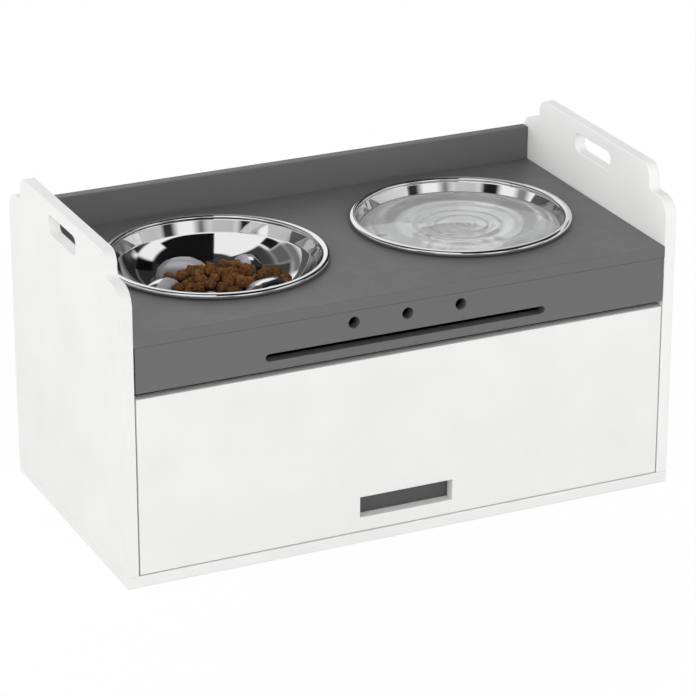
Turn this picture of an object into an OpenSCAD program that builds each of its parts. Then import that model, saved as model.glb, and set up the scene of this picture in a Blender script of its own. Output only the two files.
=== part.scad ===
// Elevated dog feeder: a painted board cabinet with two lift-out steel bowls
// and a storage drawer below them. Millimetres, +Z up, the front faces -Y,
// and the origin is at the middle of the footprint, on the floor.

/* [Cabinet] */
// Width over the side panels
cabinet_w = 600; // [580:5:680]
// Depth from the drawer front to the back panel
cabinet_d = 310; // [300:5:360]
// Thickness of every painted board
board_t = 12; // [12:1:15]
// Height of the feeding surface above the floor
feed_h = 263; // [255:1:290]
// Rise of the back panel above the feeding surface
splash_rise = 36; // [20:1:45]

/* [Side panels] */
// Rise of the low shoulders above the feeding surface
shoulder_rise = 49; // [48:1:60]
// Rise of the raised middle above the shoulders
crest_rise = 26; // [24:1:40]
// Length of each shoulder, front and back
shoulder_len = 36; // [34:1:60]
// Radius of the outer corners of the shoulders
shoulder_corner_r = 20; // [5:1:24]
// Radius of the hollow fillet between shoulder and raised middle
step_fillet_r = 8; // [2:1:9]
// Radius of the upper corners of the raised middle
crest_corner_r = 14; // [5:1:15]
// Length of the hand slot
hand_slot_w = 75; // [60:1:110]
// Height of the hand slot
hand_slot_h = 20; // [18:1:26]
// Corner radius of the hand slot
hand_slot_r = 7; // [2:0.5:8.5]
// Wood left above the hand slot
hand_rail = 13; // [10:1:18]

/* [Front apron] */
// Height of the apron below the feeding surface board
apron_h = 47; // [46:1:56]
// Gap between the apron or drawer front and each side panel
front_side_gap = 1.5; // [1:0.1:3]
// Radius of the three round apron holes
apron_hole_r = 6; // [3:0.5:8]
// Distance from one apron hole to the next
apron_hole_pitch = 58; // [30:1:90]
// Depth of the apron holes' centres below the feeding surface board
apron_hole_drop = 12; // [11:0.5:14]
// Length of the long apron slot
apron_slot_w = 304; // [120:2:400]
// Height of the long apron slot
apron_slot_h = 8; // [5:0.5:10]
// Height of the slot's centre line above the apron's lower edge
apron_slot_rise = 13.5; // [12:0.5:15]

/* [Drawer] */
// Gap between the drawer front and the apron
drawer_gap_top = 6; // [3:0.5:9]
// Gap between the drawer front and the base panel
drawer_gap_bottom = 1.2; // [1:0.1:4]
// Width of the finger pull cut through the drawer front
pull_w = 102; // [80:1:160]
// Height of the finger pull
pull_h = 22; // [18:1:28]
// Height of the finger pull above the lower edge of the drawer front
pull_rise = 14.8; // [12:0.1:20]
// Gap between the base panel and the drawer box
box_lift = 8; // [4:1:12]
// Height of the drawer box's front and side walls
box_h = 160; // [130:1:162]
// Extra height of the drawer's back wall, which meets the stops
back_wall_rise = 12; // [8:1:14]
// Gap between the drawer box and the back panel
box_back_gap = 8; // [4:1:20]
// Gap between each drawer side and the cabinet side
box_side_gap = 13; // [11:0.5:16]
// Thickness of the drawer's bottom sheet
bottom_t = 5; // [4:0.5:6]
// Height of the bottom sheet above the lower edge of the drawer box
bottom_rise = 6; // [5:0.5:10]
// Depth of the grooves that hold the bottom sheet
bottom_groove = 5; // [3:0.5:6]
// Play of the bottom sheet in its grooves
bottom_play = 0.2; // [0.1:0.05:0.4]

/* [Runners and stops] */
// Height of each wooden runner
runner_h = 11.4; // [9:0.2:14]
// Depth of the groove in each drawer side
runner_groove = 6; // [4:0.5:7]
// Height of the runner's middle above the base panel
runner_rise = 88; // [60:1:110]
// Running gap above and below each runner
runner_play = 0.3; // [0.2:0.05:0.5]
// Side play between each runner and the bottom of its groove
runner_side_play = 1; // [0.5:0.1:1.5]
// Length of each stop block, front to back
stop_l = 20; // [14:1:30]
// Height of each stop block
stop_h = 16; // [12:1:20]
// Gap between the drawer sides and the stop blocks above them
stop_gap = 4; // [3:0.5:6]
// Reach of each stop block from the cabinet side
stop_reach = 26; // [20:1:40]
// Opening travel of the drawer before its back wall meets the stops
drawer_travel = 198; // [150:1:198]

/* [Bowls] */
// Distance from the middle to the centre of each bowl
bowl_x = 137; // [128:1:150]
// Distance of the bowl centres behind the middle of the cabinet
bowl_y = 5; // [0:1:12]
// Outer radius of the rolled rim
rim_r = 115.5; // [112:0.5:120]
// Width of the rolled rim
rim_w = 8; // [7:0.5:9]
// Height of the rolled rim
rim_h = 6; // [5:0.5:7]
// Depth of the step in the wall below the feeding surface
step_drop = 11; // [8:0.5:16]
// Amount by which the upper wall tapers in above the step
upper_taper = 5; // [3:0.5:8]
// Depth of the bowl's underside below the feeding surface
bowl_drop = 46; // [40:0.5:48]
// Radius of the flat bowl floor, from which the lower wall curves up to the step
floor_r = 45; // [42:0.5:60]
// Thickness of the bowl steel
steel_t = 1; // [0.8:0.1:1.4]
// Gap between the rim and the feeding surface
rim_seat_gap = 0.3; // [0.2:0.05:0.4]
// Play of the bowl in its hole
bowl_play = 0.9; // [0.5:0.1:1.5]

/* [Slow feeder ridges] */
// Number of stamped ridges in the pinwheel
ridge_count = 5; // [3:1:5]
// Distance from the bowl's centre to the middle of each ridge
ridge_orbit = 57; // [55:0.5:60]
// Length of each ridge
ridge_len = 54; // [40:1:56]
// Half width of each ridge, which is also the radius of its round crest
ridge_r = 12.5; // [8:0.5:13]
// Depth of the crests below the feeding surface
ridge_drop = 15; // [12:0.5:20]
// Fall of each crest from its middle to the ends of the ridge
ridge_arch = 14; // [6:1:18]
// Turn of each ridge away from the bowl's radius
ridge_swirl = 50; // [30:1:70]
// Direction of the first ridge
ridge_phase = 101.7; // [90:0.1:130]

/* [Cam fittings and dowels] */
// Radius of the cam nuts
cam_r = 6; // [5:0.5:6]
// Height of the cam nuts
cam_h = 9.5; // [8:0.5:10]
// Distance from a board's end to the middle of its cam nut
cam_back = 24; // [20:0.5:28]
// Radius of the cam bolts
cam_bolt_r = 2.5; // [2:0.1:2.8]
// Radius of the waist behind the head of each cam bolt
cam_neck_r = 1.5; // [1:0.1:1.8]
// Depth of the cam bolts in the side panels
cam_bolt_grip = 8; // [6:0.5:9]
// Distance from each front or back edge to its cam fitting in the feeding surface board
top_cam_inset = 45; // [30:1:60]
// Height of the lower cam fittings of the back panel above the base panel
back_cam_low = 48; // [30:1:70]
// Depth of the upper cam fittings of the back panel below the feeding surface
back_cam_drop = 63; // [40:1:80]
// Radius of the dowels
dowel_r = 3; // [2.5:0.25:3.5]
// Length of the dowels
dowel_l = 20; // [16:1:24]
// Depth of the dowels in the face that they stand in
dowel_grip = 8; // [6:0.5:9]
// Distance from the middle to the inner dowels of the feeding surface board
dowel_inner_x = 100; // [92:1:120]
// Distance from the middle to the outer dowels of the feeding surface board
dowel_outer_x = 230; // [200:1:250]
// Distance from the middle to the inner dowels between back panel and feeding surface board
back_dowel_x = 52; // [30:1:54]

/* [Screws] */
// Shank radius of the wood screws
screw_r = 1.75; // [1.5:0.05:2]
// Head radius of the wood screws
screw_head_r = 3.5; // [3.2:0.1:4]
// Height of the countersunk screw heads
screw_head_h = 2.4; // [2:0.1:3]
// Length of the screws through the base panel
base_screw_l = 32; // [28:1:40]
// Length of screw left in the board that a runner, stop or drawer front is screwed to
screw_grip = 8; // [6:0.5:9]
// Length of the screws at the corners of the drawer box
corner_screw_l = 35; // [30:1:40]
// Distance from each end of the base panel to its nearest screws
base_screw_inset = 35; // [25:1:50]
// Distance from each end of a runner to its nearest screws
runner_screw_inset = 35; // [20:1:60]
// Distance of the drawer box corner screws from the top and bottom of the walls
corner_screw_inset = 30; // [20:1:40]
// Distance from the middle to the screws of the drawer front
front_screw_x = 180; // [120:1:220]

/* [Fits] */
// Radial clearance of screws, cam fittings and dowels in their holes
hole_play = 0.06; // [0.04:0.01:0.15]
// Extra depth of blind holes past the fittings in them
blind_play = 0.5; // [0.3:0.1:1]

/* [Hidden] */
$fn = 64;
// Overlap of a cutting shape past the face that it cuts
cut = 1;
// Half the width inside the side panels
inner_half = cabinet_w / 2 - board_t;
// Outer face of the drawer front and apron
front_y = -cabinet_d / 2;
// Outer face of the back panel
back_y = cabinet_d / 2;
// Inner face of the drawer front and apron
front_inner_y = front_y + board_t;
// Inner face of the back panel
back_inner_y = back_y - board_t;
// Underside of the feeding surface board
top_under = feed_h - board_t;
// Height of the side panels' shoulders
shoulder_z = feed_h + shoulder_rise;
// Height of the side panels' raised middle
crest_z = shoulder_z + crest_rise;
// Half the length of the raised middle
crest_half = cabinet_d / 2 - shoulder_len;
// Height of the middle of the hand slots
hand_slot_z = crest_z - hand_rail - hand_slot_h / 2;
// Top edge of the back panel
splash_z = feed_h + splash_rise;
// Lower edge of the apron
apron_z = top_under - apron_h;
// Half the width of the apron and the drawer front
front_half = inner_half - front_side_gap;
// Lower and upper edge of the drawer front
drawer_z = board_t + drawer_gap_bottom;
drawer_top = apron_z - drawer_gap_top;
// Half the width of the drawer box
box_half = inner_half - box_side_gap;
// Lower edge of the drawer box
box_z = board_t + box_lift;
// Inner face of the drawer box's front wall
box_front_inner_y = front_inner_y + board_t;
// Outer face of the drawer's back wall
box_back_y = back_inner_y - box_back_gap;
// Inner face of the drawer's back wall
box_back_inner_y = box_back_y - board_t;
// Height of the runners' middle
runner_z = board_t + runner_rise;
// Inner face of each runner, which reaches into the groove
runner_inner = box_half - runner_groove + runner_side_play;
// Front end of the runners, which stops the closing drawer
runner_front_y = box_front_inner_y + runner_play;
// Screw places along the runners
runner_screw_ys = [runner_front_y + runner_screw_inset, 0, back_inner_y - runner_screw_inset];
// Lower face of the stop blocks
stop_z = box_z + box_h + stop_gap;
// Back face of the stop blocks, which catches the drawer's back wall
stop_back_y = box_back_inner_y - drawer_travel;
// Width by which the wall stands inside the rim's roll
rim_overlap = 0.5;
// Radius of the bowls' mouth inside the rim
bowl_mouth_r = rim_r - rim_w + rim_overlap;
// Radius of the hole for each bowl, under the rolled rim
bowl_hole_r = bowl_mouth_r + steel_t + bowl_play;
// Height of the rolled rim's middle
rim_z = feed_h + rim_seat_gap + rim_h / 2;
// Height and radius of the step in the bowl wall
step_z = feed_h - step_drop;
step_r = bowl_mouth_r - upper_taper;
// Underside of the bowls
bowl_z = feed_h - bowl_drop;
// Rise and reach of the lower wall, from the edge of the floor up to the step
wall_rise = step_z - bowl_z - steel_t;
wall_reach = step_r - floor_r;
// Radius of its curve, the height of the curve's centre, and its slope at the step
wall_curve = (pow(wall_reach, 2) + pow(wall_rise, 2)) / (2 * wall_rise);
wall_centre_z = step_z - wall_rise + wall_curve;
wall_slope = asin(wall_reach / wall_curve);
// Height of the axis of each ridge's round crest
ridge_axis_z = feed_h - ridge_drop - ridge_r;
// Half the length of a ridge between the centres of its round ends
ridge_reach = ridge_len / 2 - ridge_r;
// Radius of the sphere that gives each ridge its arch, and the height of the sphere's centre
ridge_arch_r = (pow(ridge_len / 2, 2) + pow(ridge_arch, 2)) / (2 * ridge_arch);
ridge_arch_z = feed_h - ridge_drop - ridge_arch_r;
// Waist of the cam bolts, between the shank and the head, and the head's height
cam_neck_l = 3.5;
cam_head_h = 2;
// Width and depth of the driver slots in the cam nuts
cam_slot_w = 1.2;
cam_slot_h = 1.5;
// Width of the driver cross in the screw heads
cross_w = 0.8;
// Overlap that joins touching shapes into one solid
weld = 0.01;
// Steps in the computed arcs
arc_steps = 10;
// Colours of the painted boards, bare wood, sheet, steel and zinc
white_paint = [0.93, 0.93, 0.92];
grey_paint = [0.42, 0.42, 0.43];
bare_wood = [0.80, 0.66, 0.45];
sheet_brown = [0.60, 0.47, 0.33];
bright_steel = [0.86, 0.87, 0.88];
zinc = [0.74, 0.75, 0.76];

// Repeats its children on both sides of the cabinet
module both_sides() {
    children();
    mirror([1, 0, 0]) children();
}

// A box between two corners
module box(low, high) {
    translate(low) cube(high - low);
}

// The sliver between a square corner at the origin and the arc that rounds it
module corner_bit(r) {
    difference() {
        translate([-weld, -weld]) square(r + weld);
        translate([r, r]) circle(r);
    }
}

// A rectangle with round corners, about the origin
module rounded_slot(w, h, r) {
    square([w - 2 * r, h], center = true);
    square([w, h - 2 * r], center = true);
    for (x = [-1, 1], y = [-1, 1])
        translate([x * (w / 2 - r), y * (h / 2 - r)]) circle(r);
}

// A countersunk wood screw with its head's face at the origin and its point along -Z
module wood_screw(l) {
    difference() {
        union() {
            translate([0, 0, -screw_head_h]) cylinder(h = screw_head_h, r1 = screw_r, r2 = screw_head_r);
            translate([0, 0, screw_r - l]) cylinder(h = l - screw_r, r = screw_r);
            translate([0, 0, -l]) cylinder(h = screw_r, r1 = screw_r / 4, r2 = screw_r);
        }
        for (turn = [0, 90])
            rotate([0, 0, turn])
                translate([-screw_head_r / 2, -cross_w / 2, -screw_head_h / 2])
                    cube([screw_head_r, cross_w, screw_head_h]);
    }
}

// The hole that a wood screw sits in, a little wider and deeper than the screw
module screw_hole(l) {
    translate([0, 0, -screw_head_h])
        cylinder(h = screw_head_h + hole_play, r1 = screw_r + hole_play, r2 = screw_head_r + 2 * hole_play);
    translate([0, 0, -l - blind_play]) cylinder(h = l, r = screw_r + hole_play);
    translate([0, 0, hole_play]) cylinder(h = cut, r = screw_head_r + 2 * hole_play);
}

// Cam fittings stand in a frame of their own: the joint face is at x = 0, the held
// board runs along +X about z = 0, and its pocket opens at the face below.
module cam_bolt() {
    rotate([0, 90, 0]) {
        translate([0, 0, -cam_bolt_grip])
            cylinder(h = cam_bolt_grip + cam_back - cam_neck_l, r = cam_bolt_r);
        translate([0, 0, cam_back - cam_neck_l - weld]) cylinder(h = cam_neck_l + weld, r = cam_neck_r);
        translate([0, 0, cam_back - cam_neck_r / 2]) cylinder(h = cam_head_h, r = cam_bolt_r);
    }
}

module cam_nut() {
    difference() {
        translate([cam_back, 0, -board_t / 2]) cylinder(h = cam_h, r = cam_r);
        rotate([0, 90, 0]) cylinder(h = cam_back + cam_bolt_r + blind_play, r = cam_bolt_r + hole_play);
        for (turn = [45, 135])
            translate([cam_back, 0, -board_t / 2])
                rotate([0, 0, turn])
                    cube([cam_r, cam_slot_w, 2 * cam_slot_h], center = true);
    }
}

// Hole for a cam bolt, into both boards
module cam_bolt_hole() {
    rotate([0, 90, 0])
        translate([0, 0, -cam_bolt_grip - blind_play])
            cylinder(h = cam_bolt_grip + blind_play + cam_back, r = cam_bolt_r + hole_play);
}

// Pocket for a cam nut
module cam_pocket() {
    translate([cam_back, 0, -board_t / 2 - cut])
        cylinder(h = cam_h + blind_play / 2 + cut, r = cam_r + hole_play);
}

module top_cam_places() {
    for (y = [front_y + top_cam_inset, back_inner_y - top_cam_inset])
        both_sides() translate([-inner_half, y, feed_h - board_t / 2]) children();
}

module back_cam_places() {
    for (z = [board_t + back_cam_low, feed_h - back_cam_drop])
        both_sides() translate([-inner_half, back_y - board_t / 2, z]) rotate([-90, 0, 0]) children();
}

module apron_cam_places() {
    both_sides()
        translate([-inner_half, front_y + board_t / 2, (apron_z + top_under) / 2])
            rotate([90, 0, 0]) children();
}

// A dowel along +Z from the face at z = 0, with its grip in the board below
module dowel(play = 0, depth_play = 0) {
    translate([0, 0, -dowel_grip - depth_play])
        cylinder(h = dowel_l + 2 * depth_play, r = dowel_r + play);
}

// Dowels stand in the side panels' faces and run into the feeding surface board
module side_dowel_places() {
    both_sides() translate([-inner_half, 0, feed_h - board_t / 2]) rotate([0, 90, 0]) children();
}

// Dowels stand in the back panel's face and run into the feeding surface board
module back_dowel_places() {
    for (x = [back_dowel_x, dowel_outer_x])
        both_sides() translate([x, back_inner_y, feed_h - board_t / 2]) rotate([90, 0, 0]) children();
}

// Dowels stand in the underside of the feeding surface board and run into the apron
module apron_dowel_places() {
    for (x = [dowel_inner_x, dowel_outer_x])
        both_sides() translate([x, front_y + board_t / 2, top_under]) rotate([180, 0, 0]) children();
}

// Screws from below, into the side panels and the back panel
module base_screw_places() {
    for (y = [front_y + base_screw_inset, 0, back_y - base_screw_inset])
        both_sides() translate([inner_half + board_t / 2, y, 0]) rotate([180, 0, 0]) children();
    for (x = [-inner_half / 2, 0, inner_half / 2])
        translate([x, back_y - board_t / 2, 0]) rotate([180, 0, 0]) children();
}

module runner_screw_places() {
    for (y = runner_screw_ys)
        both_sides() translate([runner_inner, y, runner_z]) rotate([0, -90, 0]) children();
}

module stop_screw_places() {
    both_sides()
        translate([inner_half - stop_reach, stop_back_y - stop_l / 2, stop_z + stop_h / 2])
            rotate([0, -90, 0]) children();
}

// Screws along the drawer sides, from the front wall and from the back wall
module corner_screw_places() {
    for (z = [box_z + corner_screw_inset, box_z + box_h - corner_screw_inset])
        both_sides() {
            translate([box_half - board_t / 2, front_inner_y, z]) rotate([90, 0, 0]) children();
            translate([box_half - board_t / 2, box_back_y, z]) rotate([-90, 0, 0]) children();
        }
}

module front_screw_places() {
    for (z = [box_z + corner_screw_inset, box_z + box_h - corner_screw_inset])
        both_sides() translate([front_screw_x, box_front_inner_y, z]) rotate([-90, 0, 0]) children();
}

module base_panel() {
    color(white_paint) difference() {
        box([-cabinet_w / 2, front_y, 0], [cabinet_w / 2, back_y, board_t]);
        base_screw_places() screw_hole(base_screw_l);
    }
}

// The outline of a side panel, with x to the back and y up
module side_outline() {
    difference() {
        union() {
            translate([front_y, board_t]) square([cabinet_d, shoulder_z - board_t]);
            translate([-crest_half, board_t]) square([2 * crest_half, crest_z - board_t]);
            for (end = [0, 1])
                mirror([end, 0]) translate([crest_half, shoulder_z]) corner_bit(step_fillet_r);
        }
        for (end = [0, 1])
            mirror([end, 0]) {
                translate([crest_half, crest_z]) rotate(180) corner_bit(crest_corner_r);
                translate([back_y, shoulder_z]) rotate(180) corner_bit(shoulder_corner_r);
            }
        translate([0, hand_slot_z]) rounded_slot(hand_slot_w, hand_slot_h, hand_slot_r);
    }
}

module side_panel() {
    difference() {
        translate([inner_half, 0, 0]) rotate([90, 0, 90]) linear_extrude(board_t) side_outline();
        base_screw_places() screw_hole(base_screw_l);
        top_cam_places() cam_bolt_hole();
        back_cam_places() cam_bolt_hole();
        apron_cam_places() cam_bolt_hole();
        side_dowel_places() dowel(hole_play, blind_play);
        runner_screw_places() screw_hole(inner_half - runner_inner + screw_grip);
        stop_screw_places() screw_hole(stop_reach + screw_grip);
    }
}

module right_side_panel() {
    color(white_paint) side_panel();
}

module left_side_panel() {
    color(white_paint) mirror([1, 0, 0]) side_panel();
}

module back_panel() {
    color(grey_paint) difference() {
        box([-inner_half, back_inner_y, board_t], [inner_half, back_y, splash_z]);
        base_screw_places() screw_hole(base_screw_l);
        back_cam_places() {
            cam_bolt_hole();
            cam_pocket();
        }
        back_dowel_places() dowel(hole_play, blind_play);
    }
}

module top_panel() {
    color(grey_paint) difference() {
        box([-inner_half, front_y, top_under], [inner_half, back_inner_y, feed_h]);
        both_sides() translate([bowl_x, bowl_y, top_under - cut])
            cylinder(h = board_t + 2 * cut, r = bowl_hole_r);
        top_cam_places() {
            cam_bolt_hole();
            cam_pocket();
        }
        side_dowel_places() dowel(hole_play, blind_play);
        back_dowel_places() dowel(hole_play, blind_play);
        apron_dowel_places() dowel(hole_play, blind_play);
    }
}

module front_apron() {
    color(grey_paint) difference() {
        box([-front_half, front_y, apron_z], [front_half, front_inner_y, top_under]);
        for (step = [-1, 0, 1])
            translate([step * apron_hole_pitch, front_y - cut, top_under - apron_hole_drop])
                rotate([-90, 0, 0]) cylinder(h = board_t + 2 * cut, r = apron_hole_r);
        translate([0, front_inner_y + cut, apron_z + apron_slot_rise])
            rotate([90, 0, 0]) linear_extrude(board_t + 2 * cut)
                rounded_slot(apron_slot_w, apron_slot_h, apron_slot_h / 2 - weld);
        apron_cam_places() {
            cam_bolt_hole();
            cam_pocket();
        }
        apron_dowel_places() dowel(hole_play, blind_play);
    }
}

// A wooden batten on each cabinet side, which carries the drawer by its groove
module runner() {
    difference() {
        box([runner_inner, runner_front_y, runner_z - runner_h / 2],
            [inner_half, back_inner_y, runner_z + runner_h / 2]);
        runner_screw_places() screw_hole(inner_half - runner_inner + screw_grip);
    }
}

module right_runner() {
    color(bare_wood) runner();
}

module left_runner() {
    color(bare_wood) mirror([1, 0, 0]) runner();
}

// Blocks above the drawer sides that catch the raised back wall
module drawer_stops() {
    color(bare_wood) both_sides() difference() {
        box([inner_half - stop_reach, stop_back_y - stop_l, stop_z],
            [inner_half, stop_back_y, stop_z + stop_h]);
        stop_screw_places() screw_hole(stop_reach + screw_grip);
    }
}

module cam_bolts() {
    color(zinc) {
        top_cam_places() cam_bolt();
        back_cam_places() cam_bolt();
        apron_cam_places() cam_bolt();
    }
}

module cam_nuts() {
    color(zinc) {
        top_cam_places() cam_nut();
        back_cam_places() cam_nut();
        apron_cam_places() cam_nut();
    }
}

module dowels() {
    color(bare_wood) {
        side_dowel_places() dowel();
        back_dowel_places() dowel();
        apron_dowel_places() dowel();
    }
}

module base_screws() {
    color(zinc) base_screw_places() translate([0, 0, -hole_play]) wood_screw(base_screw_l);
}

module runner_screws() {
    color(zinc) runner_screw_places()
        translate([0, 0, -hole_play]) wood_screw(inner_half - runner_inner + screw_grip);
}

module stop_screws() {
    color(zinc) stop_screw_places() translate([0, 0, -hole_play]) wood_screw(stop_reach + screw_grip);
}

module drawer_front() {
    color(white_paint) difference() {
        box([-front_half, front_y, drawer_z], [front_half, front_inner_y, drawer_top]);
        box([-pull_w / 2, front_y - cut, drawer_z + pull_rise],
            [pull_w / 2, front_inner_y + cut, drawer_z + pull_rise + pull_h]);
        front_screw_places() screw_hole(board_t + screw_grip);
    }
}

// The groove round the drawer's inside that holds the bottom sheet
module bottom_groove_cut() {
    box([bottom_groove - box_half, box_front_inner_y - bottom_groove, box_z + bottom_rise - bottom_play],
        [box_half - bottom_groove,
         box_back_inner_y + bottom_groove,
         box_z + bottom_rise + bottom_t + bottom_play]);
}

// The way of a runner through the drawer side and past the back wall
module runner_groove_cut() {
    box([box_half - runner_groove, box_front_inner_y, runner_z - runner_h / 2 - runner_play],
        [box_half + cut, box_back_y + cut, runner_z + runner_h / 2 + runner_play]);
}

module drawer_box_front() {
    color(grey_paint) difference() {
        box([-box_half, front_inner_y, box_z], [box_half, box_front_inner_y, box_z + box_h]);
        bottom_groove_cut();
        corner_screw_places() screw_hole(corner_screw_l);
        front_screw_places() screw_hole(board_t + screw_grip);
    }
}

module drawer_side() {
    difference() {
        box([box_half - board_t, box_front_inner_y, box_z], [box_half, box_back_inner_y, box_z + box_h]);
        bottom_groove_cut();
        runner_groove_cut();
        corner_screw_places() screw_hole(corner_screw_l);
    }
}

module drawer_right_side() {
    color(grey_paint) drawer_side();
}

module drawer_left_side() {
    color(grey_paint) mirror([1, 0, 0]) drawer_side();
}

module drawer_back() {
    color(grey_paint) difference() {
        box([-box_half, box_back_inner_y, box_z], [box_half, box_back_y, box_z + box_h + back_wall_rise]);
        bottom_groove_cut();
        both_sides() runner_groove_cut();
        corner_screw_places() screw_hole(corner_screw_l);
    }
}

module drawer_bottom() {
    color(sheet_brown)
        box([bottom_groove + bottom_play - box_half,
             box_front_inner_y - bottom_groove + bottom_play,
             box_z + bottom_rise],
            [box_half - bottom_groove - bottom_play,
             box_back_inner_y + bottom_groove - bottom_play,
             box_z + bottom_rise + bottom_t]);
}

module drawer_corner_screws() {
    color(zinc) corner_screw_places() translate([0, 0, -hole_play]) wood_screw(corner_screw_l);
}

module drawer_front_screws() {
    color(zinc) front_screw_places() translate([0, 0, -hole_play]) wood_screw(board_t + screw_grip);
}

// Points of the lower wall's curve, from the edge of the floor up to the step
function lower_wall(grow) = [
    for (i = [0 : arc_steps])
        let (a = wall_slope * i / arc_steps)
        [floor_r + (wall_curve + grow) * sin(a), wall_centre_z - (wall_curve + grow) * cos(a)]
];

// Points of the oval section of the rolled rim
function rim_section() = [
    for (i = [0 : 2 * arc_steps - 1])
        let (a = 180 * i / arc_steps)
        [rim_r - rim_w / 2 + rim_w / 2 * cos(a), rim_z + rim_h / 2 * sin(a)]
];

// Everything inside the outer face of a bowl's wall, up to the middle of the rim
module bowl_body() {
    rotate_extrude($fn = 128)
        polygon(concat([[0, bowl_z]], lower_wall(steel_t),
                       [[bowl_mouth_r + steel_t, rim_z], [0, rim_z]]));
}

// A pressed steel bowl: flat floor, curved lower wall, step, steep upper wall, rolled rim
module plain_bowl() {
    difference() {
        union() {
            bowl_body();
            rotate_extrude($fn = 128) polygon(rim_section());
        }
        rotate_extrude($fn = 128)
            polygon(concat([[0, bowl_z + steel_t]], lower_wall(0),
                           [[bowl_mouth_r, rim_z], [bowl_mouth_r, rim_z + rim_h], [0, rim_z + rim_h]]));
    }
}

// A straight ridge with upright flanks and a level, round crest, shrunk by the given wall
module ridge_bar(wall) {
    r = ridge_r - wall;
    for (end = [-1, 1])
        translate([end * ridge_reach, 0, 0]) {
            translate([0, 0, bowl_z]) cylinder(h = ridge_axis_z - bowl_z, r = r);
            translate([0, 0, ridge_axis_z]) sphere(r);
        }
    translate([-ridge_reach, -r, bowl_z]) cube([2 * ridge_reach, 2 * r, ridge_axis_z - bowl_z]);
    translate([-ridge_reach, 0, ridge_axis_z]) rotate([0, 90, 0]) cylinder(h = 2 * ridge_reach, r = r);
}

// A ridge whose crest falls in an arch to both ends, shrunk by the given wall
module ridge(wall) {
    intersection() {
        ridge_bar(wall);
        translate([0, 0, ridge_arch_z]) sphere(ridge_arch_r - wall);
    }
}

module ridge_places() {
    for (i = [0 : ridge_count - 1])
        rotate([0, 0, ridge_phase + i * 360 / ridge_count])
            translate([ridge_orbit, 0, 0])
                rotate([0, 0, ridge_swirl]) children();
}

module slow_feeder_bowl() {
    color(bright_steel) translate([-bowl_x, bowl_y, 0]) difference() {
        union() {
            plain_bowl();
            intersection() {
                ridge_places() ridge(0);
                bowl_body();
            }
        }
        ridge_places() translate([0, 0, -weld]) ridge(steel_t);
    }
}

module water_bowl() {
    color(bright_steel) translate([bowl_x, bowl_y, 0]) plain_bowl();
}

base_panel();
left_side_panel();
right_side_panel();
back_panel();
top_panel();
front_apron();
left_runner();
right_runner();
drawer_stops();
cam_bolts();
cam_nuts();
dowels();
base_screws();
runner_screws();
stop_screws();
drawer_front();
drawer_box_front();
drawer_left_side();
drawer_right_side();
drawer_back();
drawer_bottom();
drawer_corner_screws();
drawer_front_screws();
slow_feeder_bowl();
water_bowl();
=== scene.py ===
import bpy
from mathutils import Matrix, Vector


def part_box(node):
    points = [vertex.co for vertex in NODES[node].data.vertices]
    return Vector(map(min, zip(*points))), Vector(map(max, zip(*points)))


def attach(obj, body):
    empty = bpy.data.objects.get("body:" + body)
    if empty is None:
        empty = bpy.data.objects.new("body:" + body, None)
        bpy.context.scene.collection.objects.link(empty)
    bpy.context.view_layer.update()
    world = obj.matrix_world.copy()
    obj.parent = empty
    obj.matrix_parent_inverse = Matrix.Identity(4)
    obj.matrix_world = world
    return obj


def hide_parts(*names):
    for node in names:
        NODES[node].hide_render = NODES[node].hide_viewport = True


bl_info = {
    "name": "Elevated dog feeder",
    "version": (1, 0, 0),
    "blender": (4, 5, 0),
    "location": "3D View > Sidebar > Dog Feeder",
    "description": "Finishes the painted boards, steel bowls, kibble and water of an elevated dog feeder",
    "category": "Object",
}

import math
import random

import bmesh
import bpy
from bpy.props import (
    FloatProperty,
    FloatVectorProperty,
    IntProperty,
    PointerProperty,
)
from mathutils import Matrix, Vector, geometry, noise

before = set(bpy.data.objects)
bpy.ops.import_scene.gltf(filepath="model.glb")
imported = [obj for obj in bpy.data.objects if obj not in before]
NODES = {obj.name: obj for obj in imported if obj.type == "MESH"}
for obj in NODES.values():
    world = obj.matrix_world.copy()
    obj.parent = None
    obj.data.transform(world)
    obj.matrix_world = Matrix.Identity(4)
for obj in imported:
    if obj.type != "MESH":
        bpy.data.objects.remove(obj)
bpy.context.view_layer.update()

MM = 0.001
WHITE = (1.0, 1.0, 1.0, 1.0)


def to_linear(level):
    """An sRGB level from 0 to 1, as the linear one that Blender works in."""
    return level / 12.92 if level <= 0.04045 else ((level + 0.055) / 1.055) ** 2.4


def linear(hex_colour):
    """An sRGB colour written as six hex digits, as linear RGB."""
    return tuple(to_linear(int(hex_colour[i : i + 2], 16) / 255) for i in (0, 2, 4))


def rgba(colour):
    return (*colour, 1.0)


# ---------------------------------------------------------------- settings


def paint(name, description, hex_colour):
    return FloatVectorProperty(name=name, description=description, subtype="COLOR", size=3, min=0, max=1,
                               default=linear(hex_colour))


def length(name, description, low, high, default):
    """A length, with its limits and default in millimetres."""
    return FloatProperty(name=name, description=description, subtype="DISTANCE", unit="LENGTH",
                         min=low * MM, max=high * MM, default=default * MM)


def turn_by(name, description, degrees):
    return FloatProperty(name=name, description=description, subtype="ANGLE", unit="ROTATION",
                         default=math.radians(degrees))


def light(name, description, highest, default, unit="NONE"):
    """The strength of a light, or its power in watts."""
    return FloatProperty(name=name, description=description, unit=unit, min=0, max=highest, default=default)


class FeederBoards(bpy.types.PropertyGroup):
    white: paint("White", "Paint of the side panels, base and drawer front", "F1F1F0")
    grey: paint("Grey", "Paint of the feeding surface, apron and backsplash", "686868")
    edge_radius: length("Edge radius", "Radius of the sanded and painted board edges", 0.4, 3, 1.2)
    fine_edge_radius: length(
        "Fine edge radius", "Radius of the finer edges of the top, apron and drawer box", 0.2, 2, 0.6)


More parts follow.
